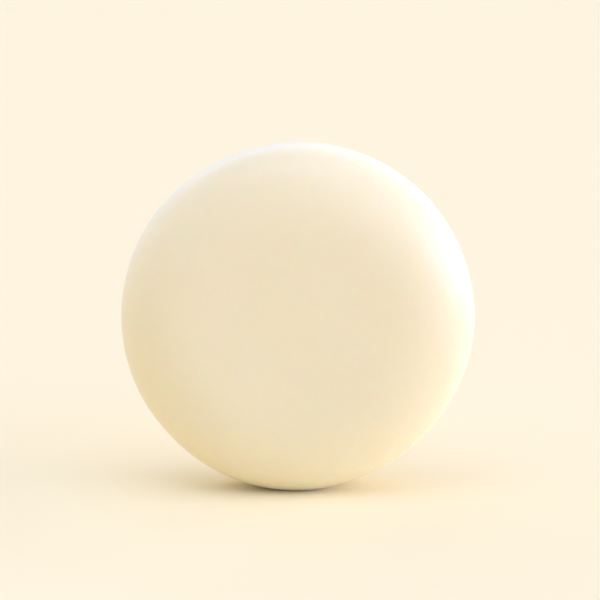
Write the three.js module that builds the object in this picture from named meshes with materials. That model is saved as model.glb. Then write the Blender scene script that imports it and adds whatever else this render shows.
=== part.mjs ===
// A hard shaving soap puck: one solid, pressed, round cake of soap. Both faces are flat, wide
// soft shoulders round them off, and a narrow straight band runs round the rim between them.
//
// Units are millimetres and +Z is up. The puck stands on its rim with its axis along Y and its
// front face towards -Y. The origin is the middle of the line on which the rim stands.

import * as THREE from "three";

// Driving dimensions of the puck.
const DIAMETER = 72; // across the rim
const THICKNESS = 26; // from face to face
const RIM_WIDTH = 8; // the straight band round the rim, between the two shoulders
const SHOULDER_REACH = 17; // how far a shoulder runs in from the rim over the face
const SHOULDER_FULLNESS = 2.05; // the shoulder's superellipse exponent: 2 is a plain ellipse

// Fineness of the turned surface.
const SIDES = 96; // flats round the rim, a multiple of 4
const SHOULDER_STEPS = 12; // bands over each shoulder

// Colour and finish of the soap.
const SOAP_COLOUR = 0xeddfc3;
const SOAP_ROUGHNESS = 0.4;

// The flats of the turned polygon touch the true circle at their middles, so that the rim keeps
// its full diameter and the puck stands on a flat, and not on an edge.
const RIM_RADIUS = DIAMETER / 2;
const FLAT_TO_CORNER = 1 / Math.cos(Math.PI / SIDES);
const HALF_A_FLAT = Math.PI / SIDES;

// A shoulder falls from the face down to the rim band.
const SHOULDER_DEPTH = (THICKNESS - RIM_WIDTH) / 2;

/**
 * The shoulder's outline from the rim band to the flat face, as a quarter of a superellipse.
 *
 * @param {number} side +1 for the shoulder of the back face, -1 for the front one
 * @returns {THREE.Vector2[]} points of (radius, distance along the axis)
 */
function shoulder(side) {
  const faceRadius = RIM_RADIUS - SHOULDER_REACH;
  const power = 2 / SHOULDER_FULLNESS;
  const points = [];
  for (let step = 0; step <= SHOULDER_STEPS; step += 1) {
    const turn = (step / SHOULDER_STEPS) * (Math.PI / 2);
    const radius = faceRadius + SHOULDER_REACH * Math.cos(turn) ** power;
    const along = RIM_WIDTH / 2 + SHOULDER_DEPTH * Math.sin(turn) ** power;
    points.push(new THREE.Vector2(radius, side * along));
  }
  return points;
}

/**
 * The puck's half outline, from the middle of the front face round the rim to the middle of the
 * back face. It starts and ends on the axis, so that the turned solid is closed.
 *
 * @returns {THREE.Vector2[]} points of (radius, distance along the axis)
 */
function outline() {
  const front = shoulder(-1).reverse();
  const back = shoulder(+1);
  const points = [
    new THREE.Vector2(0, -THICKNESS / 2),
    ...front,
    ...back,
    new THREE.Vector2(0, THICKNESS / 2),
  ];
  points.forEach((point) => {
    point.x *= FLAT_TO_CORNER;
  });
  return points;
}

/**
 * The soap itself, standing on its rim.
 *
 * @returns {THREE.Mesh} the puck, named soap_puck
 */
function soapPuck() {
  const turned = new THREE.LatheGeometry(outline(), SIDES, HALF_A_FLAT);
  const soap = new THREE.MeshStandardMaterial({
    name: "soap",
    color: SOAP_COLOUR,
    roughness: SOAP_ROUGHNESS,
    metalness: 0,
  });
  const puck = new THREE.Mesh(turned, soap);
  puck.name = "soap_puck";
  puck.position.z = RIM_RADIUS;
  return puck;
}

const shavingSoap = new THREE.Group();
shavingSoap.add(soapPuck());

export default shavingSoap;
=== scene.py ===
"""A hard shaving soap puck, standing on its rim under plain soft studio light.

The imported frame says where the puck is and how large. ShavingSoap works out its fine surface and
dresses it in SoapFinish. Studio lays the pale paper floor, hangs the lamps and sets the camera.
Every length is in metres, unless its name ends in _mm.
"""

import logging
import math
from dataclasses import dataclass, field
from enum import Enum

import bpy
import numpy as np
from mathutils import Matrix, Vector


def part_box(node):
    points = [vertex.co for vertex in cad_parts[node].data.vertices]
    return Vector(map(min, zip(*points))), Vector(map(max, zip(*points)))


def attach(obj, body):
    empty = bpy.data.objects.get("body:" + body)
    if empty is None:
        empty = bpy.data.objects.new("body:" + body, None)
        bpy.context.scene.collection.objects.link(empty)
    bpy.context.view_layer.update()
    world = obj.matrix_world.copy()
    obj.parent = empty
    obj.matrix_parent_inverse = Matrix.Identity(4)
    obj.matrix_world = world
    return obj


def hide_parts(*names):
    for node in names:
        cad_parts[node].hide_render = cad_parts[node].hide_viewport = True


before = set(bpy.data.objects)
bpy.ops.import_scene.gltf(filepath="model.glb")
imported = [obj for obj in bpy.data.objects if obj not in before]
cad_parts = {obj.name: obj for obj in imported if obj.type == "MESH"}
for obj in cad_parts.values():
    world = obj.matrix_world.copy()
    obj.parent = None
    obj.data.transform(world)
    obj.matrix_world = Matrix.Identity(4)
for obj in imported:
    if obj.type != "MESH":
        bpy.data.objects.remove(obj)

MM = 0.001
RGB = tuple[float, float, float]

log = logging.getLogger("shaving_soap")


# ---------------------------------------------------------------------------------------------
# Shader helpers
# ---------------------------------------------------------------------------------------------


class NodeBoard:
    """A node tree with short ways to place a node and to wire it."""

    def __init__(self, tree: bpy.types.NodeTree) -> None:
        """Clears the tree.

        Args:
            tree: the material's, world's or group's own node tree.
        """
        self.tree = tree
        self.tree.nodes.clear()

    def place(self, kind: str, **settings: object) -> bpy.types.Node:
        """Adds a node and gives its sockets and attributes their values.

        Args:
            kind: the node's Blender type.
            **settings: an input socket's name, with _ for a space, or an attribute's name.

        Returns:
            The node.
        """
        node = self.tree.nodes.new(kind)
        for name, value in settings.items():
            socket = node.inputs.get(name.replace("_", " "))
            if socket is not None:
                socket.default_value = value
            else:
                setattr(node, name, value)
        return node

    def wire(self, source: bpy.types.NodeSocket, target: bpy.types.NodeSocket) -> None:
        """Links an output socket to an input socket."""
        self.tree.links.new(source, target)


def grain_group() -> bpy.types.NodeTree:
    """The shared grain: a soft cloudy pattern of a given size, squeezed about its middle.

    It is fractal noise at the point divided by the grain's size, then contrast times its distance
    from a half, plus a half, held between 0 and 1. Soap and paper both use it.

    Returns:
        The node group, which is built on the first call and found again after that.
    """
    name = "grain"
    if name in bpy.data.node_groups:
        return bpy.data.node_groups[name]
    group = bpy.data.node_groups.new(name, "ShaderNodeTree")
    board = NodeBoard(group)
    face = group.interface
    face.new_socket("Point", in_out="INPUT", socket_type="NodeSocketVector")
    per_metre = face.new_socket("Per metre", in_out="INPUT", socket_type="NodeSocketFloat")
    per_metre.default_value = 1000.0
    detail = face.new_socket("Detail", in_out="INPUT", socket_type="NodeSocketFloat")
    detail.default_value = 2.0
    contrast = face.new_socket("Contrast", in_out="INPUT", socket_type="NodeSocketFloat")
    contrast.default_value = 1.0
    face.new_socket("Mask", in_out="OUTPUT", socket_type="NodeSocketFloat")
    inside = board.place("NodeGroupInput")
    noise = board.place("ShaderNodeTexNoise", Roughness=0.55)
    centred = board.place("ShaderNodeMath", operation="SUBTRACT")
    centred.inputs[1].default_value = 0.5
    stretched = board.place("ShaderNodeMath", operation="MULTIPLY_ADD", use_clamp=True)
    stretched.inputs[2].default_value = 0.5
    outside = board.place("NodeGroupOutput")
    board.wire(inside.outputs["Point"], noise.inputs["Vector"])
    board.wire(inside.outputs["Per metre"], noise.inputs["Scale"])
    board.wire(inside.outputs["Detail"], noise.inputs["Detail"])
    board.wire(noise.outputs["Fac"], centred.inputs[0])
    board.wire(centred.outputs[0], stretched.inputs[0])
    board.wire(inside.outputs["Contrast"], stretched.inputs[1])
    board.wire(stretched.outputs[0], outside.inputs["Mask"])
    return group


def pinhole_group() -> bpy.types.NodeTree:
    """Scattered round pinholes, the small bubbles that a pressed cake keeps in its skin.

    Each cell of a cellular pattern has one point. A pinhole is where the distance to it is under
    the pinhole's radius, and only cells whose random shade is under the share asked for have one.

    Returns:
        The node group, which is built on the first call and found again after that.
    """
    name = "pinholes"
    if name in bpy.data.node_groups:
        return bpy.data.node_groups[name]
    group = bpy.data.node_groups.new(name, "ShaderNodeTree")
    board = NodeBoard(group)
    face = group.interface
    face.new_socket("Point", in_out="INPUT", socket_type="NodeSocketVector")
    per_metre = face.new_socket("Cells per metre", in_out="INPUT", socket_type="NodeSocketFloat")
    per_metre.default_value = 300.0
    radius = face.new_socket("Radius", in_out="INPUT", socket_type="NodeSocketFloat")
    radius.default_value = 0.1
    share = face.new_socket("Share", in_out="INPUT", socket_type="NodeSocketFloat")
    share.default_value = 0.1
    face.new_socket("Depth", in_out="OUTPUT", socket_type="NodeSocketFloat")
    inside = board.place("NodeGroupInput")
    cells = board.place("ShaderNodeTexVoronoi", feature="F1")
    near = board.place("ShaderNodeMapRange", interpolation_type="SMOOTHSTEP")
    near.inputs["To Min"].default_value = 1.0
    near.inputs["To Max"].default_value = 0.0
    shade = board.place("ShaderNodeSeparateColor")
    chosen = board.place("ShaderNodeMath", operation="LESS_THAN")
    both = board.place("ShaderNodeMath", operation="MULTIPLY")
    outside = board.place("NodeGroupOutput")
    board.wire(inside.outputs["Point"], cells.inputs["Vector"])
    board.wire(inside.outputs["Cells per metre"], cells.inputs["Scale"])
    board.wire(cells.outputs["Distance"], near.inputs["Value"])
    board.wire(inside.outputs["Radius"], near.inputs["From Max"])
    board.wire(cells.outputs["Color"], shade.inputs["Color"])
    board.wire(shade.outputs["Red"], chosen.inputs[0])
    board.wire(inside.outputs["Share"], chosen.inputs[1])
    board.wire(near.outputs["Result"], both.inputs[0])
    board.wire(chosen.outputs[0], both.inputs[1])
    board.wire(both.outputs[0], outside.inputs["Depth"])
    return group


# ---------------------------------------------------------------------------------------------
# Finishes
# ---------------------------------------------------------------------------------------------


@dataclass(frozen=True)
class SoapFinish:
    """Hard milled soap: cream, slightly translucent, with a smooth satin skin."""

    pale: RGB = (0.918, 0.802, 0.555)
    deep: RGB = (0.906, 0.788, 0.530)
    glow_reach_mm: RGB = (5.0, 3.0, 1.6)
    refraction: float = 1.5
    skin_smooth: float = 0.34
    skin_dull: float = 0.42
    mottle_mm: float = 14.0
    mottle_detail: float = 3.0
    mottle_contrast: float = 1.6
    skin_grain_mm: float = 2.2
    skin_grain_detail: float = 4.0
    skin_grain_contrast: float = 1.8
    skin_grain_depth_mm: float = 0.004
    pinhole_cell_mm: float = 3.4
    pinhole_share: float = 0.09
    pinhole_radius: float = 0.035
    pinhole_depth_mm: float = 0.06

    def make(self) -> bpy.types.Material:
        """Builds the soap's material.

        Returns:
            The material, on Object coordinates.
        """
        material = bpy.data.materials.new("soap")
        material.use_nodes = True
        board = NodeBoard(material.node_tree)
        where = board.place("ShaderNodeTexCoord")

        mottle = self._grain(
            board, where, 1 / (self.mottle_mm * MM), self.mottle_detail, self.mottle_contrast
        )
        colour = board.place("ShaderNodeMix", data_type="RGBA")
        colour.inputs[6].default_value = (*self.deep, 1.0)
        colour.inputs[7].default_value = (*self.pale, 1.0)
        board.wire(mottle.outputs["Mask"], colour.inputs[0])

        skin = self._grain(
            board,
            where,
            1 / (self.skin_grain_mm * MM),
            self.skin_grain_detail,
            self.skin_grain_contrast,
        )
        dullness = board.place(
            "ShaderNodeMapRange", To_Min=self.skin_smooth, To_Max=self.skin_dull
        )
        board.wire(skin.outputs["Mask"], dullness.inputs["Value"])

        pinholes = board.place("ShaderNodeGroup", node_tree=pinhole_group())
        pinholes.inputs["Cells per metre"].default_value = 1 / (self.pinhole_cell_mm * MM)
        pinholes.inputs["Radius"].default_value = self.pinhole_radius
        pinholes.inputs["Share"].default_value = self.pinhole_share
        board.wire(where.outputs["Object"], pinholes.inputs["Point"])
        height = board.place("ShaderNodeMath", operation="MULTIPLY_ADD")
        height.inputs[1].default_value = -self.pinhole_depth_mm / self.skin_grain_depth_mm
        board.wire(pinholes.outputs["Depth"], height.inputs[0])
        board.wire(skin.outputs["Mask"], height.inputs[2])
        bump = board.place("ShaderNodeBump", Strength=1.0)
        bump.inputs["Distance"].default_value = self.skin_grain_depth_mm * MM
        board.wire(height.outputs[0], bump.inputs["Height"])

        soap = board.place("ShaderNodeBsdfPrincipled", IOR=self.refraction)
        soap.subsurface_method = "RANDOM_WALK"
        soap.inputs["Subsurface Weight"].default_value = 1.0
        soap.inputs["Subsurface Radius"].default_value = self.glow_reach_mm
        soap.inputs["Subsurface Scale"].default_value = MM
        board.wire(colour.outputs[2], soap.inputs["Base Color"])
        board.wire(dullness.outputs["Result"], soap.inputs["Roughness"])
        board.wire(bump.outputs["Normal"], soap.inputs["Normal"])
        output = board.place("ShaderNodeOutputMaterial")
        board.wire(soap.outputs["BSDF"], output.inputs["Surface"])
        return material

    @staticmethod
    def _grain(
        board: NodeBoard,
        where: bpy.types.Node,
        per_metre: float,
        detail: float,
        contrast: float,
    ) -> bpy.types.Node:
        """Places the shared grain with its own values and wires it to Object coordinates.

        Args:
            board: the material's board.
            where: its Texture Coordinate node.
            per_metre: how many grains lie in a metre.
            detail: how many finer layers the grain has.
            contrast: how far it is pulled apart about its middle.

        Returns:
            The group's node.
        """
        grain = board.place("ShaderNodeGroup", node_tree=grain_group())
        grain.inputs["Per metre"].default_value = per_metre
        grain.inputs["Detail"].default_value = detail
        grain.inputs["Contrast"].default_value = contrast
        board.wire(where.outputs["Object"], grain.inputs["Point"])
        return grain


@dataclass(frozen=True)
class PaperFinish:
    """Pale cream backdrop paper, dead matt, with a faint tooth."""

    pale: RGB = (0.985, 0.876, 0.586)
    deep: RGB = (0.975, 0.868, 0.576)
    tooth_mm: float = 1.6

    def make(self) -> bpy.types.Material:
        """Builds the paper's material.

        Returns:
            The material, on Object coordinates.
        """
        material = bpy.data.materials.new("backdrop_paper")
        material.use_nodes = True
        board = NodeBoard(material.node_tree)
        where = board.place("ShaderNodeTexCoord")
        tooth = board.place("ShaderNodeGroup", node_tree=grain_group())
        tooth.inputs["Per metre"].default_value = 1 / (self.tooth_mm * MM)
        board.wire(where.outputs["Object"], tooth.inputs["Point"])
        colour = board.place("ShaderNodeMix", data_type="RGBA")
        colour.inputs[6].default_value = (*self.deep, 1.0)
        colour.inputs[7].default_value = (*self.pale, 1.0)
        board.wire(tooth.outputs["Mask"], colour.inputs[0])
        paper = board.place("ShaderNodeBsdfPrincipled", Roughness=1.0)
        paper.inputs["Specular IOR Level"].default_value = 0.0
        board.wire(colour.outputs[2], paper.inputs["Base Color"])
        output = board.place("ShaderNodeOutputMaterial")
        board.wire(paper.outputs["BSDF"], output.inputs["Surface"])
        return material


# ---------------------------------------------------------------------------------------------
# The soap
# ---------------------------------------------------------------------------------------------


class Side(Enum):
    """Which of the puck's two faces a half outline runs to."""

    FRONT = -1
    BACK = +1


@dataclass(frozen=True)
class Lobe:
    """One way in which the rim is out of round: so many high places, so high."""

    count: int
    height_mm: float
    first_at_degrees: float


@dataclass
class ShavingSoap:
    """The cake of soap, standing on its rim with its round axis along Y.

    Its outline is a flat face, a wide shoulder that is a quarter of a superellipse, and a straight
    band round the rim, then the same again to the back. Pressing and handling show in a rim
    a little out of round, faces that swell and dip by hundredths of a millimetre, a few shallow
    dents, and a small flat where the cake stands.
    """

    shoulder_reach: float = 17 * MM
    rim_band: float = 5 * MM
    shoulder_fullness: float = 2.2
    lobes: tuple[Lobe, ...] = (Lobe(2, 0.21, 15), Lobe(3, 0.13, 22), Lobe(4, 0.10, -9))
    swell: float = 0.05 * MM
    swell_length: float = 22 * MM
    swell_length_spread: tuple[float, float] = (0.7, 2.0)
    swell_waves: int = 28
    dents: int = 22
    dent_depth: float = 0.05 * MM
    dent_radius: float = 2.2 * MM
    dent_depth_spread: tuple[float, float] = (0.3, 1.0)
    dent_radius_spread: tuple[float, float] = (0.5, 1.6)
    standing_flat: float = 0.03 * MM
    sides: int = 480
    face_rings: int = 34
    shoulder_rings: int = 62
    curve_samples: int = 4000
    seed: int = 7
    finish: SoapFinish = field(default_factory=SoapFinish)

    def __post_init__(self) -> None:
        """Takes the puck's size and middle from the frame."""
        low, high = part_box("soap_puck")
        self.centre = (low + high) / 2
        self.floor = low.z
        self.rim_radius = (high.z - low.z) / 2
        self.half_thickness = (high.y - low.y) / 2
        self.random = np.random.default_rng(self.seed)

    def half_outline(self, side: Side) -> np.ndarray:
        """The outline from the middle of a face to the rim band, in even steps along its curve.

        The shoulder's point at turn t is, from the shoulder's inner corner, reach times cos t and
        depth times sin t, each to the power 2 over the fullness.

        Args:
            side: which face it runs to.

        Returns:
            Rows of (radius, distance along the axis), the face's middle first.
        """
        face_radius = self.rim_radius - self.shoulder_reach
        depth = self.half_thickness - self.rim_band / 2
        power = 2 / self.shoulder_fullness
        turn = np.linspace(math.pi / 2, 0, self.curve_samples)
        radius = face_radius + self.shoulder_reach * np.cos(turn) ** power
        along = self.rim_band / 2 + depth * np.sin(turn) ** power
        gone = np.concatenate([[0], np.cumsum(np.hypot(np.diff(radius), np.diff(along)))])
        even = np.linspace(0, gone[-1], self.shoulder_rings)
        shoulder = np.stack([np.interp(even, gone, radius), np.interp(even, gone, along)], axis=1)
        face = np.linspace(0, face_radius, self.face_rings)[:-1]
        flat = np.stack([face, np.full_like(face, self.half_thickness)], axis=1)
        return np.concatenate([flat, shoulder]) * (1, side.value)

    def surface(self) -> np.ndarray:
        """The puck's points, by ring and then by place round the ring.

        A point is the outline's radius carried round the Y axis, plus the outline's distance along
        that axis, plus its normal times the rim's lobes, the faces' swell and the dents.

        Returns:
            An array of rings by sides by 3, with the middles of the faces as first and last ring.
        """
        outline = np.concatenate(
            [self.half_outline(Side.FRONT), self.half_outline(Side.BACK)[::-1]]
        )
        slope = np.gradient(outline, axis=0)
        normal = np.stack([slope[:, 1], -slope[:, 0]], axis=1)
        normal /= np.linalg.norm(normal, axis=1, keepdims=True)
        angle = np.arange(self.sides) / self.sides * 2 * math.pi
        round_about = np.stack([np.cos(angle), np.zeros_like(angle), np.sin(angle)], axis=1)
        along = np.array([0.0, 1.0, 0.0])
        points = outline[:, :1, None] * round_about + outline[:, 1:, None] * along
        normals = normal[:, :1, None] * round_about + normal[:, 1:, None] * along
        out_of_round = self.lobes_at(angle) * (outline[:, :1] / self.rim_radius) ** 2
        points = points + out_of_round[..., None] * round_about
        points = points + (self.swell_at(points) - self.dents_at(points))[..., None] * normals
        points[0] = points[0].mean(axis=0)
        points[-1] = points[-1].mean(axis=0)
        return self.stood(points)

    def lobes_at(self, angle: np.ndarray) -> np.ndarray:
        """How far the rim stands out of round: a cosine of the angle for each lobe, added up."""
        waves = [
            lobe.height_mm * MM * np.cos(lobe.count * (angle - math.radians(lobe.first_at_degrees)))
            for lobe in self.lobes
        ]
        return np.sum(waves, axis=0)

    def swell_at(self, points: np.ndarray) -> np.ndarray:
        """The swell of the skin: plane waves in random directions, added up and scaled.

        Args:
            points: the smooth puck's points.

        Returns:
            The height of the swell at each point.
        """
        heading = self.random.normal(size=(self.swell_waves, 3))
        heading /= np.linalg.norm(heading, axis=1, keepdims=True)
        length = self.swell_length * self.random.uniform(*self.swell_length_spread, self.swell_waves)
        phase = self.random.uniform(0, 2 * math.pi, self.swell_waves)
        waves = np.cos(points @ (heading / length[:, None] * 2 * math.pi).T + phase)
        return self.swell * waves.sum(axis=-1) / math.sqrt(self.swell_waves)

    def dents_at(self, points: np.ndarray) -> np.ndarray:
        """Shallow dents at random places: each a bell curve of the distance from its middle.

        Args:
            points: the smooth puck's points.

        Returns:
            The depth of the dents at each point.
        """
        ring = self.random.integers(2, points.shape[0] - 2, self.dents)
        place = self.random.integers(0, points.shape[1], self.dents)
        width = self.dent_radius * self.random.uniform(*self.dent_radius_spread, self.dents)
        depth = self.dent_depth * self.random.uniform(*self.dent_depth_spread, self.dents)
        total = np.zeros(points.shape[:2])
        for middle, wide, deep in zip(points[ring, place], width, depth):
            apart = np.linalg.norm(points - middle, axis=-1)
            total += deep * np.exp(-((apart / wide) ** 2))
        return total

    def stood(self, points: np.ndarray) -> np.ndarray:
        """Lowers the puck until its rim is pressed flat on the floor by the standing flat.

        Args:
            points: the puck's points round the origin.

        Returns:
            The same points in their place in the frame.
        """
        placed = points + np.array(self.centre)
        placed[..., 2] += self.floor - self.standing_flat - placed[..., 2].min()
        placed[..., 2] = np.maximum(placed[..., 2], self.floor)
        return placed

    def build(self) -> bpy.types.Object:
        """Makes the puck's mesh: quads between the rings, and a fan at the middle of each face.

        Returns:
            The dressed puck, riding on the frame in place of its CAD node.
        """
        points = self.surface()
        rings = points[1:-1]
        count, sides = rings.shape[:2]
        vertices = np.concatenate([rings.reshape(-1, 3), points[:1, 0], points[-1:, 0]])
        front, back = count * sides, count * sides + 1
        ring = np.arange(count - 1)[:, None] * sides
        here = np.arange(sides)
        there = (here + 1) % sides
        quads = np.stack(
            [ring + here, ring + sides + here, ring + sides + there, ring + there], axis=-1
        ).reshape(-1, 4)
        first = np.stack([np.full(sides, front), here, there], axis=1)
        last = (count - 1) * sides
        final = np.stack([np.full(sides, back), last + there, last + here], axis=1)
        mesh = bpy.data.meshes.new("shaving_soap")
        mesh.from_pydata(vertices.tolist(), [], quads.tolist() + first.tolist() + final.tolist())
        mesh.shade_smooth()
        mesh.update()
        mesh.materials.append(self.finish.make())
        puck = bpy.data.objects.new("shaving_soap", mesh)
        bpy.context.scene.collection.objects.link(puck)
        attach(puck, "root")
        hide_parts("soap_puck")
        log.info("shaving_soap: %d vertices, %d faces", len(mesh.vertices), len(mesh.polygons))
        return puck


# ---------------------------------------------------------------------------------------------
# The studio
# ---------------------------------------------------------------------------------------------


@dataclass(frozen=True)
class Lamp:
    """A soft studio lamp, so far off that its light is even over the whole floor.

    Azimuth 0 is the camera's side and 90 the right-hand side. Spread is the angle that the lamp's
    diffuser fills, seen from the soap.
    """

    name: str
    azimuth: float
    elevation: float
    spread: float
    strength: float
    colour: RGB = (1.0, 1.0, 1.0)

    def hang(self) -> bpy.types.Object:
        """Hangs the lamp.

        Returns:
            The light's object, turned so that it shines on the soap.
        """
        light = bpy.data.lights.new(self.name, "SUN")
        light.angle = math.radians(self.spread)
        light.energy = self.strength
        light.color = self.colour
        lamp = bpy.data.objects.new(self.name, light)
        shining = -towards(self.azimuth, self.elevation)
        lamp.rotation_euler = shining.to_track_quat("-Z", "Y").to_euler()
        bpy.context.scene.collection.objects.link(lamp)
        return lamp


def towards(azimuth: float, elevation: float) -> Vector:
    """The unit vector from the soap towards a place.

    Args:
        azimuth: degrees round from the camera's side to the right.
        elevation: degrees above the floor.

    Returns:
        The vector.
    """
    across, up = math.radians(azimuth), math.radians(elevation)
    return Vector(
        (math.sin(across) * math.cos(up), -math.cos(across) * math.cos(up), math.sin(up))
    )


@dataclass
class Studio:
    """The floor, the lamps, the room's own light and the camera."""

    soap: ShavingSoap
    floor_radius: float = 5.0
    floor_sides: int = 96
    room_light: RGB = (0.45, 0.46, 0.53)
    bright_walls: RGB = (0.98, 1.18, 1.42)
    backdrop: RGB = (1.0, 0.905, 0.758)
    lamps: tuple[Lamp, ...] = (
        Lamp("low_key_front", 60, 8, 30, 1.0, (0.55, 0.74, 1.28)),
        Lamp("low_key_side", 90, 8, 30, 1.0, (0.97, 0.99, 1.40)),
        Lamp("low_key_back", 120, 8, 30, 1.0, (1.10, 1.04, 1.38)),
        Lamp("key", 75, 26, 40, 0.37, (0.98, 0.92, 1.20)),
        Lamp("front_fill", 30, 26, 40, 0.25, (0.48, 0.78, 1.28)),
        Lamp("back_glow", 195, 40, 50, 0.36, (1.00, 1.00, 1.20)),
        Lamp("back_glow_left", 248, 28, 50, 0.24, (0.95, 1.03, 1.42)),
        Lamp("left_fill", 285, 32, 50, 0.24, (0.68, 0.88, 1.15)),
        Lamp("high_left", 300, 60, 50, 0.22, (1.00, 1.00, 1.15)),
        Lamp("top", 0, 74, 50, 0.60, (0.98, 0.93, 1.12)),
    )
    camera_elevation: float = 10.9
    camera_azimuth: float = 0.0
    camera_distance: float = 0.6
    picture_width: float = 123.6 * MM
    sensor: float = 36.0
    aim_above_middle: float = 3.45 * MM
    aim_right_of_middle: float = 0.45 * MM
    nearest_seen: float = 0.01
    farthest_seen: float = 100.0

    def lay_floor(self) -> bpy.types.Object:
        """Lays the round paper floor that the soap stands on.

        Returns:
            The floor, which is staging and not part of the soap.
        """
        angle = np.arange(self.floor_sides) / self.floor_sides * 2 * math.pi
        edge = np.stack([np.cos(angle), np.sin(angle), np.zeros_like(angle)], axis=1)
        mesh = bpy.data.meshes.new("paper_floor")
        mesh.from_pydata(
            (edge * self.floor_radius).tolist(), [], [list(range(self.floor_sides))]
        )
        mesh.update()
        mesh.materials.append(PaperFinish().make())
        floor = bpy.data.objects.new("paper_floor", mesh)
        bpy.context.scene.collection.objects.link(floor)
        return floor

    def light_room(self) -> None:
        """Hangs the lamps and sets the room's even light, which the camera sees as the backdrop."""
        for lamp in self.lamps:
            lamp.hang()
        world = bpy.data.worlds.new("room")
        world.use_nodes = True
        board = NodeBoard(world.node_tree)
        room = board.place("ShaderNodeBackground", Color=(*self.room_light, 1.0))
        walls = board.place("ShaderNodeBackground", Color=(*self.bright_walls, 1.0))
        seen = board.place("ShaderNodeBackground", Color=(*self.backdrop, 1.0))
        ray = board.place("ShaderNodeLightPath")
        mirrored = board.place("ShaderNodeMixShader")
        choice = board.place("ShaderNodeMixShader")
        output = board.place("ShaderNodeOutputWorld")
        board.wire(ray.outputs["Is Glossy Ray"], mirrored.inputs[0])
        board.wire(room.outputs[0], mirrored.inputs[1])
        board.wire(walls.outputs[0], mirrored.inputs[2])
        board.wire(ray.outputs["Is Camera Ray"], choice.inputs[0])
        board.wire(mirrored.outputs[0], choice.inputs[1])
        board.wire(seen.outputs[0], choice.inputs[2])
        board.wire(choice.outputs[0], output.inputs["Surface"])
        world.cycles.sampling_method = "NONE"
        bpy.context.scene.world = world

    def set_camera(self) -> bpy.types.Object:
        """Sets the camera a little above the soap, looking at its face with a long lens.

        Returns:
            The camera, which the scene then uses.
        """
        back = towards(self.camera_azimuth, self.camera_elevation)
        aim = self.soap.centre + Vector((self.aim_right_of_middle, 0, self.aim_above_middle))
        lens = bpy.data.cameras.new("camera")
        lens.sensor_width = self.sensor
        lens.lens = self.sensor * self.camera_distance / self.picture_width
        lens.clip_start = self.nearest_seen
        lens.clip_end = self.farthest_seen
        camera = bpy.data.objects.new("camera", lens)
        camera.location = aim + back * self.camera_distance
        camera.rotation_euler = (-back).to_track_quat("-Z", "Y").to_euler()
        bpy.context.scene.collection.objects.link(camera)
        bpy.context.scene.camera = camera
        return camera

    def set_tones(self) -> None:
        """Shows the light as it is, with no film look laid over it."""
        view = bpy.context.scene.view_settings
        view.view_transform = "Standard"
        view.look = "None"


def main() -> None:
    """Builds the soap and then the studio round it."""
    logging.basicConfig(level=logging.INFO, format="%(name)s: %(message)s")
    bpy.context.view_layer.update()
    soap = ShavingSoap()
    soap.build()
    studio = Studio(soap)
    studio.lay_floor()
    studio.light_room()
    studio.set_camera()
    studio.set_tones()
    log.info("studio: floor, %d lamps and camera", len(studio.lamps))


if __name__ == "__main__":
    main()
